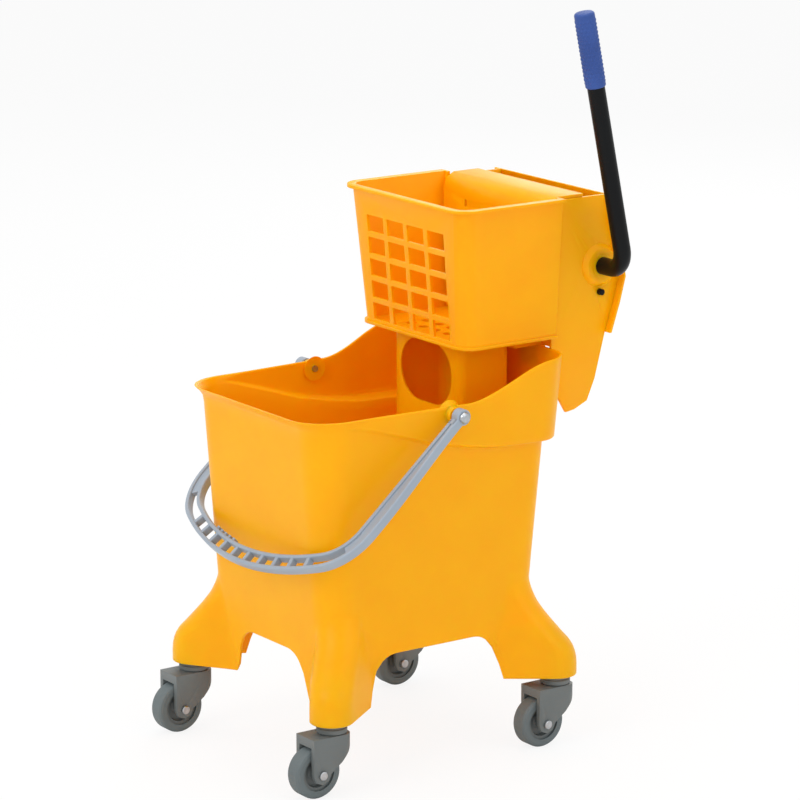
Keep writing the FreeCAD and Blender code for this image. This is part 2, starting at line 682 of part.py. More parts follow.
def bail_handle(doc):
    """The bail: a flat U whose bowed hand rail is a ladder of windows, with an eye on each arm."""
    value = lambda alias: SIZES[alias][0]
    depth, arm, rail = value("bail_depth"), value("bail_arm"), value("bail_rail")
    outer = bail_path((arm, rail), 0)
    inner = bail_path((0, 0), 0)
    first, last = inner[0].Vertexes[0].Point, outer[0].Vertexes[0].Point
    end = Part.LineSegment(first, last).toShape()
    middle = Part.LineSegment(inner[2].Vertexes[-1].Point, outer[2].Vertexes[-1].Point).toShape()
    half = Part.Face(Part.Wire(Part.__sortEdges__([end, middle] + inner + outer)))
    solid = half.extrude(FreeCAD.Vector(0, 0, depth))
    solid.translate(FreeCAD.Vector(0, 0, -depth / 2))
    eye_x = value("bail_inner") - 0.5
    eye = Part.makeCylinder(10, arm + 0.5, FreeCAD.Vector(eye_x, 0, 0), FreeCAD.Vector(1, 0, 0))
    bow, reach = value("bail_bow") + rail / 2, value("bail_reach")
    centre = FreeCAD.Vector(0, reach - value("bail_bow"), 0)
    windows = []
    for number in (0.5, 1.5, 2.5, 3.5):
        angle = math.radians(6.2 * number)
        window = Part.makeBox(21, rail - 12, depth * 3, FreeCAD.Vector(-10.5, -(rail - 12) / 2, -depth))
        window = window.makeFillet(4, [edge for edge in window.Edges if abs(edge.tangentAt(0).z) > 0.9])
        window.rotate(FreeCAD.Vector(), FreeCAD.Vector(0, 0, 1), -math.degrees(angle))
        window.translate(centre + FreeCAD.Vector(math.sin(angle), math.cos(angle), 0) * bow)
        windows.append(window)
    solid = solid.fuse(eye).cut(Part.makeCompound(windows))
    bore = Part.makeCylinder(
        value("bail_pin") + value("running_gap"), arm + 60,
        FreeCAD.Vector(eye_x - 20, 0, 0), FreeCAD.Vector(1, 0, 0))
    solid = solid.cut(bore)
    whole = solid.fuse(mirrored(solid)).removeSplitter()
    feature = doc.addObject("Part::Feature", "bail_handle")
    feature.Label = "bail_handle"
    feature.Shape = whole
    return place(feature, 0, dim("bail_pivot_y"), dim("bail_pivot_z"), (1, 0, 0), dim("bail_drop") + 180)


def bail_pins(doc):
    """The two pivot pins, each with a round head outside the bail's eye."""
    pins = []
    for side, sign in SIDES.items():
        radius = dim("bail_pin")
        start, face = dim("rim_half") - 6, dim("bail_inner") + dim("bail_arm") + 1
        steps = [(start, radius), (face, radius), (face, 7), (face + 2, 6), (face + 3, 3.5)]
        pin = turned(doc, "bail_pin_" + side, steps)
        pins.append(place(pin, 0, dim("bail_pivot_y"), dim("bail_pivot_z"), (0, 0, 1), 0 if sign > 0 else 180))
    group = doc.addObject("Part::Compound", "bail_pins")
    group.Links = pins
    return group


# ---------------------------------------------------------------- wringer basket


CHEEK_REAR = ((277, 0), (288, -44), (299, -106), (290, -139), (277.5, -176), (262, -234), (250, -261))


def cheek_rear_points():
    """The cheeks' rear edge, from the top down."""
    return [(y, dim("cheek_top") + drop) for y, drop in CHEEK_REAR]


def basket_form(doc, label, inset, low, high, rear):
    body = new_body(doc, label)
    inset = sized(inset)
    rise = dim("basket_top") - dim("basket_base")
    sections = []
    for name, height in (("_low", sized(low)), ("_high", sized(high))):
        share = (height - dim("basket_base")) / rise
        half = dim("basket_base_half") + (dim("basket_top_half") - dim("basket_base_half")) * share - inset
        lean = dim("basket_top_front") - dim("basket_base_front")
        front = dim("basket_base_front") + lean * share + inset
        sketch = sketch_on(body, label + name, "XY_Plane", height)
        sections.append(rounded_box(sketch, -half, half, front, rear, dim("basket_corner") - inset, 1))
    loft(body, label + "_walls", sections)
    return body


def basket_lip(doc, label, height, thickness, reach, half, front):
    """A flat lip round the front and sides of the basket."""
    body = new_body(doc, label)
    sketch = sketch_on(body, label + "_plan", "XY_Plane", height)
    half = half + reach
    rounded_box(sketch, -half, half, front - reach, dim("basket_rear"), dim("basket_corner") + reach, 1)
    pad(body, sketch, thickness)
    return body


def cheek(doc, side, sign):
    body = new_body(doc, "cheek_" + side)
    start = dim("cheek_inner") if sign > 0 else -dim("cheek_inner") - dim("cheek_wall")
    front = dim("band_rear") + 3
    outline = [(front, dim("cheek_top")), *cheek_rear_points(), (230, 414), (217, 412), (205, 432), (front, 470)]
    sketch = polygon(sketch_on(body, "cheek_side_" + side, "YZ_Plane", start), outline)
    pad(body, sketch, dim("cheek_wall"))
    return body


def shaft_boss(doc, side, sign):
    low = dim("cheek_inner")
    face = low + dim("cheek_wall")
    steps = [(low + 1, dim("boss_base")), (face + 1, dim("boss_base")), (face + dim("boss_height"), dim("boss_tip"))]
    boss = turned(doc, "shaft_boss_" + side, steps)
    return place(boss, 0, dim("shaft_y"), dim("shaft_z"), (0, 0, 1), 0 if sign > 0 else 180)


def front_holes(doc):
    """The drain grid in the front wall: four holes across, five up."""
    body = new_body(doc, "front_holes")
    sketch = sketch_on(body, "front_grid", "XZ_Plane")
    wide, tall = dim("hole_wide") / 2, dim("hole_tall") / 2
    centre = dim("basket_base") + 76.5
    for row in range(-2, 3):
        for column in (-1.5, -0.5, 0.5, 1.5):
            x, z = dim("hole_pitch_x") * column, centre + dim("hole_pitch_z") * row
            polygon(sketch, [(x - wide, z - tall), (x + wide, z - tall), (x + wide, z + tall), (x - wide, z + tall)])
    pad(body, sketch, 90, back=True)
    return body


def floor_holes(doc):
    """Rows of drain holes through the basket's floor, over the skirt."""
    body = new_body(doc, "floor_holes")
    sketch = sketch_on(body, "floor_grid", "XY_Plane", dim("basket_base") - 1)
    middle = (dim("skirt_front") + dim("skirt_rear")) / 2
    for row in range(-1, 2):
        for column in range(-2, 3):
            circle(sketch, dim("skirt_half") * (0.36 * column), middle + 24 * row, 7)
    pad(body, sketch, dim("basket_wall") + 2)
    return body


def skirt(doc, label, inset, low, high):
    body = new_body(doc, label)
    inset = sized(inset)
    half = dim("skirt_half") - inset
    sketch = sketch_on(body, label + "_plan", "XY_Plane", low)
    rounded_box(sketch, -half, half, dim("skirt_front") + inset, dim("skirt_rear") - inset, 12 - inset, 12 - inset)
    pad(body, sketch, sized(high) - low)
    return body


def skirt_window(doc):
    """The oval opening in the skirt's front, and one through its sides."""
    body = new_body(doc, "skirt_window")
    centre = dim("basket_base") - 47
    front = sketch_on(body, "skirt_front_window", "XZ_Plane", -dim("skirt_front") - 20)
    half = dim("skirt_half") - 17
    rounded_box(front, -half, half, centre - 40, centre + 40, 39, 39)
    pad(body, front, 40)
    return body


def wringer_basket(doc):
    wall, base, top = dim("basket_wall"), dim("basket_base"), dim("basket_top")
    rear, cheek_face = dim("basket_rear"), dim("cheek_inner") + dim("cheek_wall")
    solids = [
        basket_lip(doc, "top_lip", top - 4, 4, dim("lip_reach"), dim("basket_top_half"), dim("basket_top_front")),
        basket_lip(doc, "foot_lip", base + 1, 4, 4, dim("basket_base_half"), dim("basket_base_front")),
        skirt(doc, "skirt_outside", 0, dim("skirt_base"), base + 1),
    ]
    holes = [
        basket_form(doc, "basket_inside", wall, base + wall, top + 5, rear - wall),
        box(doc, "rear_window", both(dim("cheek_inner")), (rear - 20, rear + 10), (base + wall, top + 5)),
        box(doc, "flange_path", both(cheek_face + 1.5), (rear - 20, rear + 5), (dim("cheek_top") - 9, top + 5)),
        front_holes(doc),
        floor_holes(doc),
        skirt(doc, "skirt_inside", dim("skirt_wall"), dim("skirt_base") - 1, base),
        skirt_window(doc),
    ]
    for side, sign in SIDES.items():
        solids.append(cheek(doc, side, sign))
        solids.append(shaft_boss(doc, side, sign))
        seat = dim("rim_rear_height") + dim("seat_gap")
        saddle, tie = spread(sign, 50, 88), spread(sign, 86, dim("cheek_inner") + 1)
        solids.append(box(doc, "saddle_" + side, saddle, (dim("skirt_rear") - 6, rear + 2), (seat, base + 2)))
        hook = dim("band_rear") + 1.5
        solids.append(box(doc, "saddle_hook_" + side, saddle, (hook, rear + 2), (seat - 28, seat + 4)))
        solids.append(box(doc, "cheek_tie_" + side, tie, (rear - wall, rear + 2), (seat, base + 2)))
        bore = spread(sign, dim("cheek_inner") - 5, cheek_face + dim("boss_height") + 5)
        holes.append(cross_cylinder(
            doc, "bush_hole_" + side, *bore, dim("shaft_y"), dim("shaft_z"), dim("bush_radius")))
        holes.append(cross_cylinder(
            doc, "anchor_hole_" + side, *bore, dim("shaft_y") + 1, dim("anchor_z"), dim("anchor_radius")))
    outside = basket_form(doc, "basket_outside", 0, base, top, rear)
    return cut(doc, "wringer_basket", joined(doc, "basket_solid", outside, solids), holes)


def rear_cover(doc):
    """The sheet behind the mechanism, following the cheeks' rear edge and standing out past both."""
    body = new_body(doc, "rear_cover")
    edge = cheek_rear_points()[:5]
    wall = dim("cover_wall")
    inner = [(sized(y) + 0.2, z) for y, z in edge]
    outer = [(y + wall, z) for y, z in inner]
    profile = polygon(sketch_on(body, "cover_side", "YZ_Plane"), inner + outer[::-1])
    pad(body, profile, dim("cover_half") * 2, middle=True)
    for sign in SIDES.values():
        sketch = sketch_on(body, "cover_screw_%d" % (sign + 1), "XZ_Plane", -300)
        for drop in (20, 160):
            circle(sketch, (dim("cheek_inner") + 2) * sign, dim("cheek_top") - drop, 1.6)
        pocket(body, sketch, 60)
    return body


def cover_screws(doc):
    """Four pan-head screws through the cover into the edges of the cheeks."""
    screws = []
    for side, sign in SIDES.items():
        for number, (drop, rear) in enumerate(((20, 282.0), (160, 283.4))):
            steps = [(0, 1.6), (10.5, 1.6), (10.5, 4), (12, 3.5), (13, 2)]
            screw = turned(doc, "cover_screw_%s_%d" % (side, number), steps)
            x, y = (dim("cheek_inner") + 2) * sign, sized(rear) + dim("cover_wall") - 9.6
            screws.append(place(screw, x, y, dim("cheek_top") - drop, (0, 0, 1), 90))
    group = doc.addObject("Part::Compound", "cover_screws")
    group.Links = screws
    return group


# ---------------------------------------------------------------- press plate and lever


def press_plate(doc):
    """The moving plate: a front panel rolled back into a top flange, push arms and spring lugs behind."""
    body = new_body(doc, "plate_panel")
    face, wall, rear = dim("plate_front"), dim("plate_wall"), dim("flange_rear")
    top, under, foot = dim("basket_top"), dim("cheek_top") + dim("seat_gap"), dim("plate_foot")
    side = [
        (face, foot), (face, top - 20), (face + 2, top - 12), (face + 7, top - 5), (face + 16, top), (rear, top),
        (rear, under), (face + 17, under), (face + 10, under - 3.5), (face + wall + 1.5, under - 11),
        (face + wall, under - 18), (face + wall, foot),
    ]
    pad(body, polygon(sketch_on(body, "plate_side", "YZ_Plane"), side), dim("plate_top_half") * 2, middle=True)
    for sign in SIDES.values():
        wedge = polygon(
            sketch_on(body, "plate_taper_%d" % (sign + 1), "XZ_Plane"),
            [(dim("plate_base_half") * sign, foot - 1), ((dim("plate_top_half") + 20) * sign, foot - 1),
             ((dim("plate_top_half") + 20) * sign, top - 20), (dim("plate_top_half") * sign, top - 20)],
        )
        pocket(body, wedge)
        slot = rounded_box(
            sketch_on(body, "plate_slot_%d" % (sign + 1), "XZ_Plane"),
            *spread(sign, 60, 64), top - 38, top - 28, 1.9, 1.9)
        pocket(body, slot)
    extras = []
    back = dim("shaft_y") + dim("cam_radius") * SINE_REST - dim("roller_radius") - dim("cam_lead")
    mid = dim("shaft_z") - dim("cam_radius")
    for side, sign in SIDES.items():
        reach = spread(sign, dim("push_x") - dim("push_width") / 2, dim("push_x") + dim("push_width") / 2)
        extras.append(box(doc, "push_arm_" + side, reach, (face + 2, back), (mid - 8, mid + 30)))
        lug = spread(sign, dim("spring_x") - 5, dim("spring_x") + 5)
        level = (dim("anchor_z") - 7, dim("anchor_z") + 7)
        extras.append(box(doc, "spring_lug_" + side, lug, (face + 2, face + 18), level))
        rib = spread(sign, 30, 33)
        extras.append(box(doc, "plate_rib_" + side, rib, (face + 2, face + 24), (foot + 4, under - 14)))
    return joined(doc, "press_plate", body, extras)


SINE_REST = math.sin(math.radians(SIZES["cam_angle"][0]))
COSINE_REST = math.cos(math.radians(SIZES["cam_angle"][0]))


def cam_arm(doc, side, sign):
    """A cam arm pinned on the lever shaft, hanging towards the roller."""
    label = "cam_arm_" + side
    body = new_body(doc, label)
    near = dim("push_x") - dim("push_width") / 2 - 8.5
    start = near if sign > 0 else -near - 8
    radius = dim("cam_radius")
    hub = circle(sketch_on(body, label + "_hub", "YZ_Plane", start), 0, 0, dim("lever_radius") + 7)
    pad(body, hub, 8)
    outline = [(-14, 0), (14, 0), (6.5, -radius), (-6.5, -radius)]
    pad(body, polygon(sketch_on(body, label + "_arm", "YZ_Plane", start), outline), 8)
    tip = circle(sketch_on(body, label + "_tip", "YZ_Plane", start), 0, -radius, 6.5)
    pad(body, tip, 8)
    pocket(body, circle(sketch_on(body, label + "_bore", "YZ_Plane"), 0, 0, dim("lever_radius")))
    pocket(body, circle(sketch_on(body, label + "_pin_hole", "YZ_Plane"), 0, -radius, dim("rivet_radius")))
    return place(body, 0, dim("shaft_y"), dim("shaft_z"), (1, 0, 0), dim("cam_angle"))


def cam_spot():
    y = dim("shaft_y") + dim("cam_radius") * SINE_REST
    z = dim("shaft_z") - dim("cam_radius") * COSINE_REST
    return y, z


def cam_roller(doc, side, sign):
    """The roller at the end of a cam arm, which rolls on the plate's push arm."""
    start, end = dim("push_x") - dim("push_width") / 2, dim("push_x") + dim("push_width") / 2
    steps = [(start, dim("roller_radius")), (end, dim("roller_radius"))]
    roller = turned(doc, "cam_roller_" + side, steps, dim("rivet_radius") + dim("running_gap"))
    return place(roller, 0, *cam_spot(), (0, 0, 1), 0 if sign > 0 else 180)


def roller_pins(doc):
    """The rivets that hold the rollers to the cam arms."""
    pins = []
    for side, sign in SIDES.items():
        start, rivet = dim("push_x") - dim("push_width") / 2 - 8.5, dim("rivet_radius")
        end = dim("push_x") + dim("push_width") / 2 + dim("seat_gap")
        steps = [(start - 1.5, 4.5), (start, 4.5), (start, rivet), (end, rivet), (end, 4.5), (end + 1.5, 4.5)]
        pin = turned(doc, "roller_pin_" + side, steps)
        pins.append(place(pin, 0, *cam_spot(), (0, 0, 1), 0 if sign > 0 else 180))
    group = doc.addObject("Part::Compound", "roller_pins")
    group.Links = pins
    return group


def lever_tube(doc):
    """One bent steel tube: the shaft through both cheeks, a bend and the upright arm."""
    body = new_body(doc, "lever_tube")
    plane, bend, length = dim("lever_plane"), dim("lever_bend"), dim("lever_length")
    start = -dim("cheek_inner") - dim("cheek_wall") - dim("boss_height") - 3
    path = sketch_on(body, "lever_path", "XY_Plane")
    spot = lambda x, y: FreeCAD.Vector(sized(x).value, sized(y).value, 0)
    level = path.addGeometry(Part.LineSegment(spot(start, 0), spot(plane - bend, 0)), False)
    ring = Part.Circle(spot(plane - bend, bend), FreeCAD.Vector(0, 0, 1), bend.value)
    turn = path.addGeometry(Part.ArcOfCircle(ring, -math.pi / 2, 0), False)
    rise = path.addGeometry(Part.LineSegment(spot(plane, bend), spot(plane, length)), False)
    path.addConstraint(Sketcher.Constraint("Tangent", level, 2, turn, 1))
    path.addConstraint(Sketcher.Constraint("Tangent", turn, 2, rise, 1))
    path.addConstraint(Sketcher.Constraint("Horizontal", level))
    path.addConstraint(Sketcher.Constraint("Vertical", rise))
    bind(path, "Radius", bend, turn)
    bind(path, "DistanceX", start, -1, 1, level, 1)
    bind(path, "DistanceY", 0, -1, 1, level, 1)
    bind(path, "DistanceX", plane, -1, 1, rise, 2)
    bind(path, "DistanceY", length, -1, 1, rise, 2)
    section = sketch_on(body, "lever_section", "YZ_Plane", start)
    circle(section, 0, 0, dim("lever_radius"))
    circle(section, 0, 0, dim("lever_radius") - dim("lever_wall"))
    tube = body.newObject("PartDesign::AdditivePipe", "lever_pipe")
    tube.Profile = section
    tube.Spine = (path, ["Edge1", "Edge2", "Edge3"])
    return place(body, 0, dim("shaft_y"), dim("shaft_z"), (1, 0, 0), dim("lever_lean") + 90)


def lever_grip(doc):
    """The moulded grip pushed over the lever's top end, closed at the top."""
    radius, tube, length = dim("grip_radius"), dim("lever_radius"), dim("lever_length")
    low, top = length - dim("grip_length") + 3, length + 3
    body = new_body(doc, "lever_grip")
    outline = [
        (low, tube), (low, radius - 0.8), (low + 2, radius), (top - 3, radius), (top - 1, radius - 1),
        (top, radius - 3), (top, 0), (length + 0.2, 0), (length + 0.2, tube),
    ]
    revolve(body, polygon(sketch_on(body, "grip_outline", "XY_Plane"), outline))
    holder = FreeCAD.Rotation(FreeCAD.Vector(1, 0, 0), SIZES["lever_lean"][0] + 90)
    turn = holder.multiply(FreeCAD.Rotation(FreeCAD.Vector(0, 0, 1), 90))
    place(body, dim("lever_plane"), dim("shaft_y"), dim("shaft_z"))
    body.Placement = FreeCAD.Placement(body.Placement.Base, turn)
    return body


def shaft_bush(doc, side, sign):
    """A flanged plastic bush that carries the lever shaft in its boss."""
    low = dim("cheek_inner") - 2
    face = dim("cheek_inner") + dim("cheek_wall") + dim("boss_height")
    steps = [(low, dim("bush_radius") + 3), (dim("cheek_inner"), dim("bush_radius") + 3),
             (dim("cheek_inner"), dim("bush_radius")), (face + 0.8, dim("bush_radius"))]
    body = turned(doc, "shaft_bush_" + side, steps, dim("lever_radius") + dim("running_gap"))
    return place(body, 0, dim("shaft_y"), dim("shaft_z"), (0, 0, 1), 0 if sign > 0 else 180)


def shaft_cap(doc):
    """The end cap on the shaft's left end, which keeps it from sliding out."""
    end = dim("cheek_inner") + dim("cheek_wall") + dim("boss_height") + 3
    body = new_body(doc, "shaft_cap")
    tube = dim("lever_radius")
    outline = [
        (end - 1.4, tube + 4), (end + 3, tube + 4), (end + 4.5, tube + 2), (end + 4.5, 0),
        (end, 0), (end, tube), (end - 1.4, tube),
    ]
    revolve(body, polygon(sketch_on(body, "cap_outline", "XY_Plane"), outline))
    return place(body, 0, dim("shaft_y"), dim("shaft_z"), (0, 0, 1), 180)


def anchor_pins(doc):
    """The stub pins through the cheeks that hold the rear ends of the return springs."""
    pins = []
    for side, sign in SIDES.items():
        start, face = dim("spring_x") - 7, dim("cheek_inner") + dim("cheek_wall")
        steps = [(start, dim("anchor_radius")), (face + 6, dim("anchor_radius")), (face + 7, dim("anchor_radius") - 1)]
        pin = turned(doc, "anchor_pin_" + side, steps)
        pins.append(place(pin, 0, dim("shaft_y") + 1, dim("anchor_z"), (0, 0, 1), 0 if sign > 0 else 180))
    group = doc.addObject("Part::Compound", "anchor_pins")
    group.Links = pins
    return group


def return_spring(doc, side, sign):
    """The space that one coil spring fills, between the plate's lug and the anchor pin."""
    front = dim("plate_front") + 18
    rear = dim("shaft_y") + 1 - dim("anchor_radius")
    gap, radius = dim("seat_gap"), dim("spring_radius")
    body = turned(doc, "return_spring_" + side, [(0, radius), (rear - front - gap * 2, radius)], radius - 1.4)
    return place(body, dim("spring_x") * sign, front + gap, dim("anchor_z"), (0, 0, 1), 90)


# ---------------------------------------------------------------- the whole object


def check_document(doc):
    """Stop on any feature that failed to build."""
    for obj in doc.Objects:
        if {"Invalid", "Error"} & set(obj.State):
            raise RuntimeError("%s failed: %s" % (obj.Label, obj.State))


def write_part(obj):
    shape = obj.Shape
    if shape.isNull() or not shape.isValid() or not shape.Solids:
        raise RuntimeError("%s has no valid solid" % obj.Label)
    shape.exportStep("parts/%s.step" % obj.Label)
    bounds = shape.BoundBox
    print("%-22s %2d solid %9.1f cm3  x %7.1f..%6.1f  y %7.1f..%6.1f  z %6.1f..%6.1f" % (
        obj.Label, len(shape.Solids), shape.Volume / 1000, bounds.XMin, bounds.XMax,
        bounds.YMin, bounds.YMax, bounds.ZMin, bounds.ZMax))


def main():
    doc = FreeCAD.newDocument("MopBucket")
    make_sheet(doc)
    parts = [bucket_tank(doc), bail_handle(doc), bail_pins(doc)] + casters(doc)
    parts += [wringer_basket(doc), rear_cover(doc), cover_screws(doc), press_plate(doc)]
    parts += [roller_pins(doc), lever_tube(doc), lever_grip(doc), shaft_cap(doc), anchor_pins(doc)]
    for side, sign in SIDES.items():
        for make in (cam_arm, cam_roller, shaft_bush, return_spring):
            parts.append(make(doc, side, sign))
    doc.recompute()
    check_document(doc)
    os.makedirs("parts", exist_ok=True)
    for obj in parts:
        write_part(obj)


main()
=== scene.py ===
# %% [markdown]
# # A mop bucket with a side-press wringer
# The bucket is moulded in one shot of yellow polypropylene and rolls on four swivel casters. A separate wringer sits
# on its rear rim. The construction model gives the size and place of every piece, and this script gives each piece the
# look of its real material and shapes the moulded ones more finely. Everything is in metres, with X to the right,
# Y to the back and Z up.

import bpy
import json
import numpy as np
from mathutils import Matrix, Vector


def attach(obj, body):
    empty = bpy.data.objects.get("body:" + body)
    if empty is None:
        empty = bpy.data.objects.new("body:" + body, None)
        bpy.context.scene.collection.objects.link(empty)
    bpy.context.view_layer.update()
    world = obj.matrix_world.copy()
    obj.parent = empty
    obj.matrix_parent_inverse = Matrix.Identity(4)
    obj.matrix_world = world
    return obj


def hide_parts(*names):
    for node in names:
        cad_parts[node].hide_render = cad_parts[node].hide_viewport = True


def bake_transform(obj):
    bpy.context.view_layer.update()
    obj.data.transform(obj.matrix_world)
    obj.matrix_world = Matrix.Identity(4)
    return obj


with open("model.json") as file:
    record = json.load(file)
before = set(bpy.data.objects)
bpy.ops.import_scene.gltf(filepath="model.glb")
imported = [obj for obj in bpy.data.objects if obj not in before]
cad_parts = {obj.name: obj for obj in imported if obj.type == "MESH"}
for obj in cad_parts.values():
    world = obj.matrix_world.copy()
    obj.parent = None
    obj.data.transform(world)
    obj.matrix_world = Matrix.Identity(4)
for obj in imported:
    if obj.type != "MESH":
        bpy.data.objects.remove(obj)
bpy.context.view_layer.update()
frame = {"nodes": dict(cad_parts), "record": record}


NODES = frame["nodes"]
SLOT_OF = {row["node"]: row["material_slot"] for row in frame["record"]["subparts"]}
CORNERS = {"fl": (-1, -1), "fr": (1, -1), "rl": (-1, 1), "rr": (1, 1)}
MM = 0.001

# %% [markdown]
# ## Materials
# Nearly everything here is a plastic that left its mould with a fine skin, so the materials differ in colour, in how
# sharply they mirror a lamp, and in the grain of that skin. Each is a Principled shader. A noise texture on Object
# coordinates makes the small unevenness that keeps a large moulded face from looking like a computer's flat paint.

# %% Colour and node helpers


def linear(hex_colour):
    """The linear colour of an sRGB hex value: each channel is undone by the standard's power curve."""
    channels = np.array([int(hex_colour[i:i + 2], 16) for i in (1, 3, 5)]) / 255
    low, high = channels / 12.92, ((channels + 0.055) / 1.055) ** 2.4
    return [float(v) for v in np.where(channels <= 0.04045, low, high)] + [1.0]


def add(tree, kind, settings=None, links=None):
    """Adds one shader node with its settings and its incoming links. An int or a name picks an input socket."""
    node = tree.nodes.new(kind)
    for key, value in (settings or {}).items():
        if isinstance(key, str) and hasattr(node, key) and key not in node.inputs:
            setattr(node, key, value)
        else:
            node.inputs[key].default_value = value
    for key, source in (links or {}).items():
        tree.links.new(source, node.inputs[key])
    return node


def moulded(name, colour, darker, roughness, grain_mm, bump_mm, patch_mm=60, ior=1.49, extra=None):
    """A plastic or painted skin: two close colours in soft patches, and a bump as fine as the grain."""
    material = bpy.data.materials.new(name)
    material.use_nodes = True
    tree = material.node_tree
    tree.nodes.clear()
    place = add(tree, "ShaderNodeTexCoord").outputs["Object"]
    patches = add(tree, "ShaderNodeTexNoise", {"Scale": 1 / (patch_mm * MM), "Detail": 2.0}, {"Vector": place})
    ramp = add(tree, "ShaderNodeValToRGB", links={"Fac": patches.outputs["Fac"]})
    ramp.color_ramp.elements[0].position, ramp.color_ramp.elements[1].position = 0.35, 0.65
    ramp.color_ramp.elements[0].color, ramp.color_ramp.elements[1].color = linear(darker), linear(colour)
    grain = add(tree, "ShaderNodeTexNoise", {"Scale": 1 / (grain_mm * MM), "Detail": 3.0}, {"Vector": place})
    bump = add(tree, "ShaderNodeBump", {"Strength": 1.0, "Distance": bump_mm * MM}, {"Height": grain.outputs["Fac"]})
    shader = add(tree, "ShaderNodeBsdfPrincipled", {"Roughness": roughness, "IOR": ior, **(extra or {})},
                 {"Base Color": ramp.outputs["Color"], "Normal": bump.outputs["Normal"]})
    add(tree, "ShaderNodeOutputMaterial", links={"Surface": shader.outputs["BSDF"]})
    return material


# %% [markdown]
# The yellow is polypropylene from a polished mould: satin, with a soft wide highlight. Real mould texture is under a
# tenth of a millimetre, too fine to show, so its grain is drawn at a few millimetres, as the faint waviness of a
# large cooled face. The casters, the bail and the wheels are greyer and duller plastics. The lever is powder-coated
# steel, whose coat has a fine orange peel, and its grip is dipped vinyl. The small hardware is zinc-plated steel.

# %% The materials, one for each slot of the record
MATERIALS = {
    "yellow_plastic": moulded("polypropylene, moulded satin", "#FFB000", "#FDAC00", 0.38, 9, 0.04,
                               extra={"Specular IOR Level": 0.16, "Subsurface Weight": 0.5, "Subsurface Scale": 0.012}),
    "grey_plastic": moulded("polypropylene, moulded grey", "#9DA9B6", "#97A3B1", 0.42, 5, 0.04),
    "dark_grey_plastic": moulded("nylon, moulded grey", "#686E6E", "#636969", 0.45, 5, 0.04),
    "grey_tyre": moulded("thermoplastic rubber, moulded", "#667072", "#60696B", 0.6, 3, 0.05),
    "black_steel": moulded("steel, powder coated black", "#0B0D0F", "#090A0C", 0.38, 2.5, 0.04,
                            extra={"Specular IOR Level": 0.16}),
    "black_plastic": moulded("nylon, moulded black", "#1C1E20", "#191B1D", 0.45, 4, 0.04),
    "blue_grip": moulded("vinyl, dipped blue", "#37549A", "#324D8F", 0.5, 2.5, 0.06, patch_mm=30,
                          extra={"Specular IOR Level": 0.25}),
    "zinc_steel": moulded("steel, zinc plated", "#B9BDC0", "#A9ADB1", 0.32, 3, 0.02, patch_mm=6, ior=1.5,
                          extra={"Metallic": 1.0}),
}


def finish(obj, slot):
    """Gives a piece the material of one of the record's slots."""
    obj.data.materials.clear()
    obj.data.materials.append(MATERIALS[slot])


for name, node in NODES.items():
    finish(node, SLOT_OF[name])
print("materials:", len(MATERIALS))

# %% [markdown]
# ## Surfaces from numbers
# A new piece is worked out as a grid of points, row by row, with numpy, and then turned into a mesh of four-sided
# faces. Working on whole arrays keeps the formula readable, and a smooth surface gets as many points as it needs.

# %% Turn a grid of points into a mesh


def grid_faces(rows, columns, start=0, wrap=True):
    """Four corners for every cell of a grid whose points are numbered row by row."""
    across = columns if wrap else columns - 1
    row, column = np.meshgrid(np.arange(rows - 1), np.arange(across), indexing="ij")
    after = (column + 1) % columns
    corners = [row * columns + column, row * columns + after, (row + 1) * columns + after, (row + 1) * columns + column]
    return start + np.stack(corners, axis=-1).reshape(-1, 4)


def skin(grid, closed_ends=True):
    """Points and faces of a tube-like grid. Each end can be closed by a fan to the middle of its ring."""
    rows, columns = grid.shape[:2]
    points, faces = grid.reshape(-1, 3), grid_faces(rows, columns).tolist()
    if closed_ends:
        middles = np.stack([grid[0].mean(axis=0), grid[-1].mean(axis=0)])
        first, last = len(points), len(points) + 1
        points = np.vstack([points, middles])
        ring = np.arange(columns)
        after = (ring + 1) % columns
        faces += np.stack([after, ring, np.full(columns, first)], axis=-1).tolist()
        base = (rows - 1) * columns
        faces += np.stack([base + ring, base + after, np.full(columns, last)], axis=-1).tolist()
    return points, faces


def piece(name, parts, slot, body, nodes=(), smooth_angle=40):
    """Joins (points, faces) parts, all in millimetres, into one shaded object that rides on a body."""
    points, faces, count = [], [], 0
    for part_points, part_faces in parts:
        points.append(np.asarray(part_points))
        faces += [[corner + count for corner in face] for face in part_faces]
        count += len(part_points)
    mesh = bpy.data.meshes.new(name)
    mesh.from_pydata((np.vstack(points) * MM).tolist(), [], faces)
    mesh.validate()
    obj = bpy.data.objects.new(name, mesh)
    bpy.context.scene.collection.objects.link(obj)
    mesh.shade_smooth()
    mesh.set_sharp_from_angle(angle=np.radians(smooth_angle))
    finish(obj, slot)
    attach(obj, body)
    if nodes:
        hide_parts(*nodes)
    print(name, "faces", len(faces))
    return obj


def lathe(steps, centre, axis="x", count=48):
    """A turned piece: (distance along the axis, radius) steps swept round the axis through centre."""
    steps = np.array(steps, float)
    angle = np.linspace(0, 2 * np.pi, count, endpoint=False)
    along = np.repeat(steps[:, :1], count, axis=1)
    one, two = steps[:, 1:] * np.cos(angle), steps[:, 1:] * np.sin(angle)
    order = {"x": (along, one, two), "y": (two, along, one), "z": (one, two, along)}[axis]
    return skin(np.stack(order, axis=-1) + np.array(centre, float))


# %% [markdown]
# ## The tank
# The real tank is one moulding: four walls that widen upwards, a floor, a rolled pouring lip, a wider band round the
# rear of the rim where the wringer sits, and a leg under each corner that spreads out to a caster. The surface is
# worked out as one closed skin. Its columns run round the tank and its rows run from the middle of the underside,
# down the inside of the legs, up the outside, over the rim, and down the inside to the middle of the floor.

# %% The outline of the tank at any height
PIVOT = np.array([156.0, 170.0])
LEG_RADIUS = 27.0
ROOT = np.sqrt(2)
DENSE = 1600
COLUMNS = 78


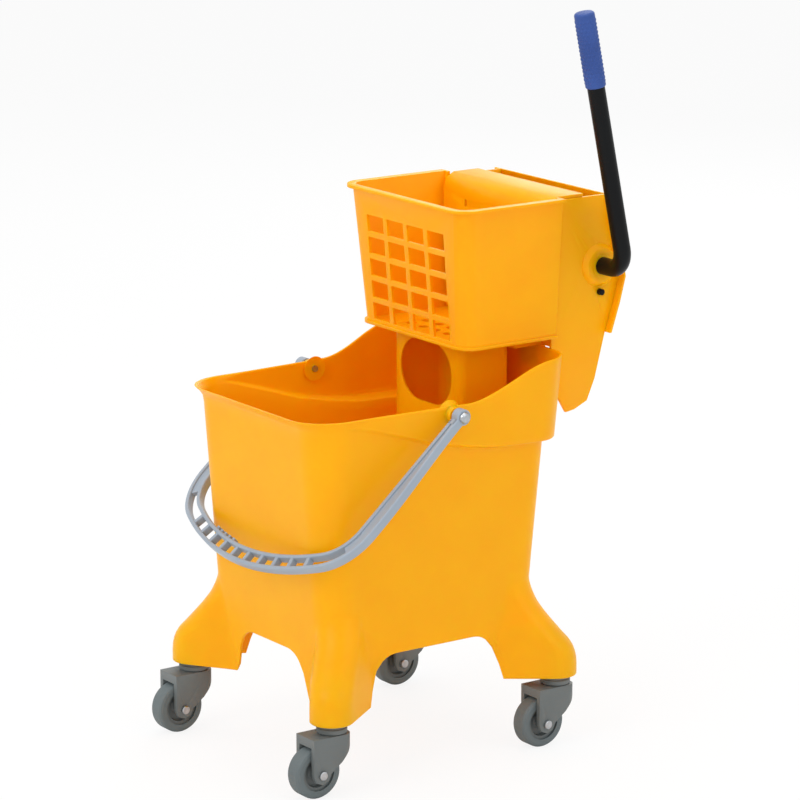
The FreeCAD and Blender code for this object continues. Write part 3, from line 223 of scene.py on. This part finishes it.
def wall_sizes(z):
    """Half width, front reach, rear reach and corner radii of the walls, which all grow evenly with height."""
    share = (z - 90) / (438 - 90)
    half, front, rear = 131.6 + 13.7 * share, 151.3 + 26.7 * share, 147 + 27.8 * share
    return half, front, rear, 30 + 16 * share, 28 + 2 * share


def leg_reach(z):
    """How far the round end of a leg stands out from its caster's stem: straight at its foot, then sloping in."""
    heights = [90, 104, 112, 119, 126, 134, 143, 155, 167, 179, 192, 203, 212]
    reaches = [27, 27, 26.4, 24.9, 22.3, 17.2, 8.5, -2.2, -12.6, -21.6, -30, -38, -47]
    return np.interp(z, heights, reaches)


def smooth_max(one, two, blend):
    """The larger of two numbers, with the corner where they cross rounded over the distance blend."""
    near = np.clip(blend - np.abs(one - two), 0, None) / blend
    return np.maximum(one, two) + near ** 2 * blend / 4


def quarter(z, half, reach, corner, leg):
    """A quarter of the outline, from the middle of the front or rear wall, round the corner, to the middle of a side.
    Seen along the diagonal, the wall is a roof shape with a round ridge, and the leg is a round tongue that rises
    out of it. The outline follows whichever is further out. It is then divided evenly along its length."""
    lateral = np.linspace(-reach / ROOT, half / ROOT, DENSE)
    ridge = (half - reach) / ROOT
    middle = (half + reach - 2 * corner) / ROOT
    aside = np.abs(lateral - ridge)
    arc = middle + np.sqrt(np.clip(corner ** 2 - aside ** 2, 0, None))
    roof = (half + reach) / ROOT - aside
    wall = np.where(aside < corner / ROOT, arc, roof)
    if leg:
        from_stem = lateral - (PIVOT[0] - PIVOT[1]) / ROOT
        inside = np.clip(np.abs(from_stem), 0, LEG_RADIUS * 0.985)
        draft = 6 * (np.abs(from_stem) - inside)
        tongue = PIVOT.sum() / ROOT + leg_reach(z) - LEG_RADIUS + np.sqrt(LEG_RADIUS ** 2 - inside ** 2) - draft
        wall = smooth_max(wall, tongue, 16)
    x, y = (wall + lateral) / ROOT, (wall - lateral) / ROOT
    length = np.concatenate([[0], np.cumsum(np.hypot(np.diff(x), np.diff(y)))])
    tip = length[np.argmax(wall)]
    even = np.concatenate([np.linspace(0, tip, COLUMNS // 2, endpoint=False),
                           np.linspace(tip, length[-1], COLUMNS - COLUMNS // 2)])
    return np.stack([np.interp(even, length, x), np.interp(even, length, y)], axis=-1)


def ring(z, leg):
    """The whole outline at one height, counter-clockwise seen from above, starting at the middle of the front."""
    half, front, rear, front_corner, rear_corner = wall_sizes(z)
    near, far = quarter(z, half, front, front_corner, leg), quarter(z, half, rear, rear_corner, leg)
    right = [near[:-1] * (1, -1), far[::-1][:-1]]
    left = [far[:-1] * (-1, 1), near[::-1][:-1] * (-1, -1)]
    return np.concatenate(right + left)


LEVELS = np.arange(88, 512, 2.0)
OUTER = np.stack([ring(z, True) for z in LEVELS])
PLAIN = np.stack([ring(z, False) for z in LEVELS])
print("outline points:", OUTER.shape)

# %% [markdown]
# The table above holds the outline at every second millimetre. A wall is then read from it at any height, column by
# column, so that the lower edge can follow the arches between the legs and the upper edge can follow the rim's S.

# %% The arches, the rim line and the rear band


def at_height(table, z):
    """Points of the table at heights z, a rows by columns array, by straight interpolation between two levels."""
    place = np.clip((z - LEVELS[0]) / 2, 0, len(LEVELS) - 1.001)
    low = place.astype(int)
    share = (place - low)[..., None]
    column = np.arange(table.shape[1])[None, :]
    return table[low, column] * (1 - share) + table[low + 1, column] * share


def outwards(points):
    """The unit directions that point out of a ring of points, from its neighbours on both sides."""
    along = np.roll(points, -1, axis=-2) - np.roll(points, 1, axis=-2)
    normal = np.stack([along[..., 1], -along[..., 0]], axis=-1)
    return normal / np.linalg.norm(normal, axis=-1, keepdims=True)


def arch_line(points):
    """The lowest height of the skirt between the legs at each outline point: high arches in the middle of a wall."""
    front = np.interp(np.abs(points[..., 0]), [0, 40, 48, 56, 62, 67, 71, 75, 78, 79.5],
                      [151, 151, 149.5, 146, 141, 135, 127, 116, 101, 90])
    side = np.interp(np.abs(points[..., 1]), [0, 60, 68, 76, 82, 87, 91, 95, 98, 99.5],
                     [151, 151, 149.5, 146, 141, 135, 127, 116, 101, 90])
    on_side = np.abs(points[..., 0]) > 126
    return np.where(on_side, side, front)


low_levels = LEVELS[(LEVELS >= 90) & (LEVELS <= 158)]
low_rings = OUTER[(LEVELS >= 90) & (LEVELS <= 158)]
fine = np.linspace(90, 158, 341)
fine_rings = at_height(OUTER, np.repeat(fine[:, None], OUTER.shape[1], axis=1))
reached = fine[:, None] >= arch_line(fine_rings) - 0.01
FOOT = fine[np.argmax(reached, axis=0)]


def rim_line(y):
    """Rim height at a place from front to back: level along the front half, then an S up to the rear."""
    share = np.clip((y - 30) / (158 - 30), 0, 1)
    return 457 + 40.5 * share ** 2 * (3 - 2 * share)


brim = at_height(PLAIN, np.full((1, PLAIN.shape[1]), 457.0))[0]
RIM = rim_line(brim[:, 1])
BAND = np.interp(brim[:, 1], [-135, -112, -60, -17, 31, 80, 170], [446, 442, 426, 412, 402, 395, 392])
print("rim heights from", RIM.min(), "to", RIM.max(), "mm")

# %% [markdown]
# The lip, the band and the wall's thickness are offsets along the outward direction. The pouring lip leans out most
# at the front. The band steps out below the rim, 15 to 18 millimetres at the rear, and fades away towards the front.

# %% Build the closed skin of the tank
WALL = 3.5


def ease(share):
    """A smooth step from 0 to 1."""
    share = np.clip(share, 0, 1)
    return share ** 2 * (3 - 2 * share)


def stand_out(points, z, rim, step):
    """How far the lip and the band stand out from the plain wall."""
    direction = outwards(points)
    frontness = np.clip(-direction[..., 1], 0, 1) ** 2
    lip = (4 + 9 * frontness) * np.clip(1 - (rim - z) / 20, 0, 1) ** 2
    side = np.interp(points[..., 1], [-160, -60, 10, 100], [0.5, 5.5, 8.5, 16.8])
    band = np.where(direction[..., 1] > 0.7, 14.6, side)
    rear = ease((direction[..., 1] - 0.2) / 0.6)
    band = side * (1 - rear) + 14.6 * rear
    band = band * (1 - ease((-direction[..., 1] - 0.25) / 0.5))
    return np.maximum(lip, band * step)


def wall_points(table, z, rim, step, inset):
    """Points in space of a wall, moved inwards by inset."""
    flat = at_height(table, z)
    out = stand_out(flat, z, rim, step) - inset
    flat = flat + outwards(flat) * out[..., None]
    return np.concatenate([flat, z[..., None]], axis=-1)


def spans(*parts):
    """Rows of heights: each part is (from, to, count), where the ends may differ from column to column."""
    rows = []
    for start, end, count in parts:
        share = np.linspace(0, 1, count, endpoint=False)[:, None]
        rows.append(start + (end - start) * share)
    return np.concatenate(rows)


flat_columns = np.zeros(OUTER.shape[1])
under = spans((flat_columns + 151.9, FOOT, 16))
up_low = spans((FOOT + 0.6, flat_columns + 214, 56))
up_mid = spans((flat_columns + 214, BAND - 3, 26))
up_step = spans((BAND - 3, BAND + 3, 8))
up_band = spans((BAND + 3, RIM - 1.75, 16))
down_band = spans((RIM - 1.75, BAND + 3 + WALL, 14))
down_step = spans((BAND + 3 + WALL, BAND - 3 + WALL, 8))
down_low = spans((BAND - 3 + WALL, flat_columns + 166, 18))


def step_at(z, lift=0.0):
    return ease((z - BAND - lift + 3) / 6)


rows = [wall_points(OUTER, under, RIM, 0 * under, WALL)]
rows.append(wall_points(OUTER, FOOT[None] + 0.0, RIM, 0 * FOOT[None], WALL - 0.6))
rows.append(wall_points(OUTER, FOOT[None] + 0.0, RIM, 0 * FOOT[None], 0.6))
for z in (up_low, up_mid, up_step, up_band):
    rows.append(wall_points(OUTER, z, RIM, step_at(z), 0))
turn = np.linspace(0, np.pi, 7)[1:-1, None]
edge_z = RIM - 1.75 + 1.75 * np.sin(turn)
for z, angle in zip(edge_z, turn[:, 0]):
    rows.append(wall_points(PLAIN, z[None], RIM, np.ones((1, len(z))), WALL / 2 * (1 - np.cos(angle))))
for z in (down_band, down_step, down_low):
    rows.append(wall_points(PLAIN, z, RIM, step_at(z, WALL), WALL))
floor_turn = np.linspace(0, np.pi / 2, 6)
for angle in floor_turn:
    z = flat_columns[None] + 156 + 10 * (1 - np.sin(angle))
    rows.append(wall_points(PLAIN, z, RIM, 0 * z, WALL + 10 * (1 - np.cos(angle))))
tank_grid = np.concatenate(rows)
print("tank grid:", tank_grid.shape)

# %% [markdown]
# Under each leg there is a round plate with a socket for the caster's stem, and on each side of the rim there is a
# round ear for the bail's pin. Both are turned shapes, so they are swept round an axis from a few steps.

# %% Sockets and ears
parts = [skin(tank_grid)]
for sx, sy in CORNERS.values():
    steps = [(90, 5.55), (90, 24.6), (93, 24.6), (93, 13.5), (133, 13), (133, 5.55)]
    parts.append(lathe(steps + steps[:1], (PIVOT[0] * sx, PIVOT[1] * sy, 0), "z"))
for sign in (-1, 1):
    steps = [(146, 4), (146, 16), (150, 13.5), (153, 10.8), (156, 9.6), (160.4, 9.5), (161, 8.9), (161, 4)]
    swept = lathe([(sign * x, radius) for x, radius in steps + steps[:1]][::sign], (0, 11, 447))
    parts.append(swept)
tank = piece("moulded_tank", parts, "yellow_plastic", "bucket", ["bucket_tank"], smooth_angle=50)

# %% [markdown]
# ## The bail
# The carrying bail is one flat moulding. To be stiff and light it has two rails with a thin web sunk between them
# along the arms, and a ladder of open windows in the hand rail. So it is made as the real one is drawn: an inner and
# an outer rail swept along the bail's line, a web and rungs between them, and an eye at each end for its pin.

# %% The bail's line, in its own plane
BAIL_PIVOT, BAIL_DROP = (11.0, 447.0), np.radians(41)
INNER, REACH, BOW, BEND, DEPTH, RAIL_WIDTH = 165.0, 263.0, 330.0, 50.0, 11.6, 5.4


def in_space(x, reach, lift):
    """Points of the bail's plane in space: reach runs from the pivot forwards and down, lift across the plane."""
    y = BAIL_PIVOT[0] - reach * np.cos(BAIL_DROP) + lift * np.sin(BAIL_DROP)
    z = BAIL_PIVOT[1] - reach * np.sin(BAIL_DROP) - lift * np.cos(BAIL_DROP)
    return np.stack([x, y, z], axis=-1)


def bail_line():
    """The inner edge with its outward directions: a straight arm, a bend and a bowed rail, then the mirror image."""
    middle = REACH - BOW
    bend_x = INNER - BEND
    bend_y = middle + np.sqrt((BOW - BEND) ** 2 - bend_x ** 2)
    meet = np.arctan2(bend_y - middle, bend_x)
    arm = np.linspace(6, bend_y, 60, endpoint=False)
    corner, bow = np.linspace(0, meet, 40, endpoint=False), np.linspace(meet, np.pi / 2, 90)
    x = np.concatenate([0 * arm + INNER, bend_x + BEND * np.cos(corner), BOW * np.cos(bow)])
    reach = np.concatenate([arm, bend_y + BEND * np.sin(corner), middle + BOW * np.sin(bow)])
    turn = np.concatenate([0 * arm, corner, bow])
    out = np.stack([np.cos(turn), np.sin(turn)], axis=-1)
    line = np.stack([x, reach], axis=-1)
    return (np.concatenate([line, line[::-1][1:] * (-1, 1)]), np.concatenate([out, out[::-1][1:] * (-1, 1)]),
            len(arm), len(corner))


LINE, OUT, ARM_COUNT, CORNER_COUNT = bail_line()
LENGTH = np.concatenate([[0], np.cumsum(np.linalg.norm(np.diff(LINE, axis=0), axis=1))])
FROM_END = np.minimum(LENGTH, LENGTH[-1] - LENGTH)
WIDTH = 13 + 10 * ease(FROM_END / 165)
print("bail line:", round(float(LENGTH[-1]), 1), "mm along its inner edge")

# %% Rails, web, rungs and eyes


def rounded_section(wide, deep, radius, count=4):
    """A rectangle with round corners, as (across, deep) points counter-clockwise."""
    turn = np.linspace(0, np.pi / 2, count)
    corners = []
    for quarter_turn, (a, b) in enumerate(((1, 1), (-1, 1), (-1, -1), (1, -1))):
        angle = turn + quarter_turn * np.pi / 2
        corners.append(np.stack([a * (wide / 2 - radius) + radius * np.cos(angle),
                                 b * (deep / 2 - radius) + radius * np.sin(angle)], axis=-1))
    return np.concatenate(corners)


def swept(line, out, section):
    """A section carried along a line of the bail's plane: its first number goes along out, its second across."""
    across, deep = section[:, 0], section[:, 1]
    flat = line[:, None, :] + out[:, None, :] * across[None, :, None]
    lift = np.broadcast_to(deep, flat.shape[:2])
    return skin(in_space(flat[..., 0], flat[..., 1], lift)[:, ::-1])


def rung(angle, low, high, wide=5.5, deep=9.6):
    """A short bar across the hand rail at an angle from its middle, between two distances from the bow's centre."""
    out = np.array([np.sin(angle), np.cos(angle)])
    side = np.array([np.cos(angle), -np.sin(angle)])
    share = np.linspace(low, high, 5)[:, None]
    line = np.array([0, REACH - BOW]) + out * share
    return swept(line, np.broadcast_to(side, line.shape), rounded_section(wide, deep, 1.2))


rail = rounded_section(RAIL_WIDTH, DEPTH, 1.6)
bail_parts = [swept(LINE + OUT * RAIL_WIDTH / 2, OUT, rail),
              swept(LINE + OUT * (WIDTH - RAIL_WIDTH / 2)[:, None], OUT, rail)]
web_end = ARM_COUNT + CORNER_COUNT // 2
for rows_used in (slice(0, web_end), slice(len(LINE) - web_end, len(LINE))):
    wide = WIDTH[rows_used, None] - 4
    section = rounded_section(1, 6.4, 0.01, 2)
    flat = (LINE[rows_used] + OUT[rows_used] * (WIDTH[rows_used] / 2)[:, None])[:, None, :]
    flat = flat + OUT[rows_used][:, None, :] * (section[:, 0] * wide)[..., None]
    lift = np.broadcast_to(section[:, 1], flat.shape[:2])
    bail_parts.append(skin(in_space(flat[..., 0], flat[..., 1], lift)[:, ::-1]))
for number in range(-5, 5):
    bail_parts.append(rung((number + 0.5) * 27.5 / 341, BOW + 3, BOW + 20))
for number in range(5):
    bump_angle = -(0.1 + number * 0.033)
    bail_parts.append(rung(bump_angle, BOW - 3.2, BOW + 3, 5, 8))
for sign in (-1, 1):
    steps = [(164.5, 4.05), (164.5, 9), (165.5, 10), (176.8, 10), (178, 8.8), (178, 4.05)]
    bail_parts.append(lathe([(sign * x, radius) for x, radius in steps + steps[:1]][::sign], (0, 11, 447)))
    stub = np.array([[171.5 * sign, 5.0], [171.5 * sign, 16.0]])
    bail_parts.append(swept(stub, np.array([[sign, 0.0], [sign, 0.0]]), rounded_section(12.8, DEPTH, 1.6)[::sign]))
piece("moulded_bail", bail_parts, "grey_plastic", "bail", ["bail_handle"], smooth_angle=35)

# %% [markdown]
# ## The lever's grip
# The grip is a vinyl sleeve with rows of small raised dashes, so that a wet hand doesn't slip. The sleeve is a turned
# shape whose radius is a formula of the angle and of the height: a bump where both waves are near their crest, and
# every second row shifted by half a step.

# %% The grip with its raised dashes
LEAN = np.radians(12)
SHAFT = np.array([0.0, 267.0, 595.0])
along_grip = np.array([0, -np.sin(LEAN), np.cos(LEAN)])
across_grip = np.array([0, np.cos(LEAN), np.sin(LEAN)])


def grip_grid(low, top, rows_count=230, around=192):
    """Radius 12.7, plus 0.6 on each dash, with a rounded closed top and a soft lower edge."""
    t = np.linspace(0, 1, rows_count)[:, None]
    angle = np.linspace(0, 2 * np.pi, around, endpoint=False)[None, :]
    height = low + (top - low) * t
    row = np.floor(height / 5.2)
    in_row = height / 5.2 - row
    dash = 0.5 + 0.5 * np.cos(16 * angle + np.pi * (row % 2))
    bump = ease((dash - 0.45) / 0.3) * ease((0.5 - np.abs(in_row - 0.5)) / 0.22 - 0.6)
    fade = ease((height - low - 5) / 2) * ease((top - 7 - height) / 2)
    radius = 12.7 + 0.55 * bump * fade
    edge = np.clip((height - (top - 3.5)) / 3.5, 0, 1)
    radius = radius - 3.5 * (1 - np.sqrt(np.clip(1 - edge ** 2, 0, 1)))
    radius = radius - 0.8 * np.clip(1 - (height - low) / 1.5, 0, 1) ** 2
    points = SHAFT + np.array([165.0, 0, 0]) + height[..., None] * along_grip
    points = points + (radius * np.cos(angle))[..., None] * np.array([1.0, 0, 0])
    return points + (radius * np.sin(angle))[..., None] * across_grip


piece("vinyl_grip", [skin(grip_grid(241.2, 335.8))], "blue_grip", "lever", ["lever_grip"], smooth_angle=60)

# %% [markdown]
# ## The return springs
# Two tension springs pull the press plate back. Each is a round wire wound in a helix: the wire's middle goes round a
# circle while it moves along, and the wire's own circle is carried with it. They stretch between the wringer's pin
# and the plate, as fixed meshes that are taken off the wringer's body and stay where they are.

# %% Wind the springs


def coil(x, start, end, radius, wire, turns):
    """A helix of wire along Y at x, from start to end."""
    t = np.linspace(0, 1, int(turns * 24))[:, None]
    angle = 2 * np.pi * turns * t
    ring_angle = np.linspace(0, 2 * np.pi, 8, endpoint=False)[None, :]
    out = radius + wire * np.cos(ring_angle)
    return skin(np.stack([x + out * np.cos(angle), start + (end - start) * t + wire * np.sin(ring_angle),
                          560.6 + out * np.sin(angle)], axis=-1)[:, ::-1])


for side, sign in (("left", -1), ("right", 1)):
    spring = piece("coil_spring_" + side, [coil(84 * sign, 206.2, 262.8, 5.0, 0.85, 17)], "zinc_steel", "wringer",
                   ["return_spring_" + side], smooth_angle=80)
    world_place = spring.matrix_world.copy()
    spring.parent = None
    spring.matrix_world = world_place
    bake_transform(spring)

# %% [markdown]
# ## Soft edges on the other mouldings
# No moulded edge is truly sharp: the mould's own edges leave a radius of about a millimetre, and that thin bright
# line is what makes a plastic part look real. The basket, the plate, the cover and the forks already have the right
# shape, so each is copied, its flat faces are joined back together, and its edges are rounded with a Bevel modifier.

# %% Copies with rounded edges
import bmesh


def softened(node, body, slot, width, flat_degrees=1.0, sharp_degrees=32):
    """A copy of a construction node whose edges have a small radius, in millimetres."""
    mesh = NODES[node].data.copy()
    work = bmesh.new()
    work.from_mesh(mesh)
    bmesh.ops.remove_doubles(work, verts=work.verts, dist=0.00002)
    bmesh.ops.dissolve_limit(work, angle_limit=np.radians(flat_degrees), verts=work.verts, edges=work.edges)
    work.to_mesh(mesh)
    work.free()
    obj = bpy.data.objects.new("soft_" + node, mesh)
    bpy.context.scene.collection.objects.link(obj)
    mesh.shade_smooth()
    bevel = obj.modifiers.new("edge radius", "BEVEL")
    bevel.width, bevel.segments, bevel.limit_method = width * MM, 2, "ANGLE"
    bevel.angle_limit, bevel.use_clamp_overlap = np.radians(sharp_degrees), True
    bevel.harden_normals = True
    finish(obj, slot)
    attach(obj, body)
    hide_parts(node)
    print(obj.name, "faces before the edges:", len(mesh.polygons))
    return obj


softened("wringer_basket", "wringer", "yellow_plastic", 0.9)
softened("rear_cover", "wringer", "yellow_plastic", 0.9)
softened("press_plate", "press", "yellow_plastic", 1.0)
for corner in CORNERS:
    softened("caster_fork_" + corner, "swivel_" + corner, "dark_grey_plastic", 1.3)

# %% [markdown]
# ## Room, lamps and camera
# A plain pale floor that meets a white background, two big soft lamps and a white sky give the even light in which
# such goods are usually shown.

# %% Floor and lamps


def stage_floor():
    """A wide floor that looks white to the camera and still takes the object's shadow."""
    material = bpy.data.materials.new("floor paper, white")
    material.use_nodes = True
    tree = material.node_tree
    tree.nodes.clear()
    path = add(tree, "ShaderNodeLightPath")
    paper = add(tree, "ShaderNodeBsdfDiffuse", {"Color": linear("#F4F4F4")})
    white = add(tree, "ShaderNodeEmission", {"Strength": 1.0})
    share = add(tree, "ShaderNodeMath", {"operation": "MULTIPLY", 1: 0.86}, {0: path.outputs["Is Camera Ray"]})
    both = add(tree, "ShaderNodeMixShader",
               links={0: share.outputs[0], 1: paper.outputs[0], 2: white.outputs[0]})
    add(tree, "ShaderNodeOutputMaterial", links={"Surface": both.outputs[0]})
    bpy.ops.mesh.primitive_plane_add(size=60, location=(0, 0, 0))
    floor = bpy.context.object
    floor.name = "floor"
    floor.data.materials.append(material)
    return floor


def lamp(name, place, aim, size, power):
    """A square soft lamp at a place, pointed at an aim, both in metres."""
    data = bpy.data.lights.new(name, "AREA")
    data.shape, data.size, data.energy = "SQUARE", size, power
    obj = bpy.data.objects.new(name, data)
    bpy.context.scene.collection.objects.link(obj)
    obj.location = place
    obj.rotation_euler = (Vector(aim) - Vector(place)).to_track_quat("-Z", "Y").to_euler()
    return obj


floor = stage_floor()
lamp("front lamp", (0.6, -3.2, 2.6), (0, 0, 0.4), 2.2, 42)
lamp("side lamp", (3.4, 0.8, 2.2), (0, 0, 0.4), 2.2, 18)
lamp("back lamp", (-2.4, 3.0, 2.2), (0, 0, 0.4), 2.2, 26)
lamp("top lamp", (-0.4, 0.3, 3.4), (0, 0, 0.4), 2.4, 30)

world = bpy.data.worlds.new("white sky")
bpy.context.scene.world = world
world.use_nodes = True
tree = world.node_tree
tree.nodes.clear()
path = add(tree, "ShaderNodeLightPath")
seen = add(tree, "ShaderNodeMath", {"operation": "MAXIMUM"},
           {0: path.outputs["Is Camera Ray"], 1: path.outputs["Is Glossy Ray"]})
dim_sky = add(tree, "ShaderNodeBackground", {"Color": (1, 1, 1, 1), "Strength": 0.75})
white_sky = add(tree, "ShaderNodeBackground", {"Color": (1, 1, 1, 1), "Strength": 1.0})
sky = add(tree, "ShaderNodeMixShader", links={0: seen.outputs[0], 1: dim_sky.outputs[0], 2: white_sky.outputs[0]})
add(tree, "ShaderNodeOutputWorld", links={"Surface": sky.outputs[0]})
bpy.context.scene.view_settings.view_transform = "Standard"
print("lamps and sky set")

# %% Camera
camera_data = bpy.data.cameras.new("camera")
camera_data.lens, camera_data.sensor_width = 172.1, 36
camera = bpy.data.objects.new("camera", camera_data)
bpy.context.scene.collection.objects.link(camera)
eye, target = Vector((3.8023, -2.6428, 1.5477)), Vector((0.0584, 0, 0.44733))
camera.location = eye
camera.rotation_euler = (target - eye).to_track_quat("-Z", "Y").to_euler()
camera_data.clip_end = 60
bpy.context.scene.camera = camera
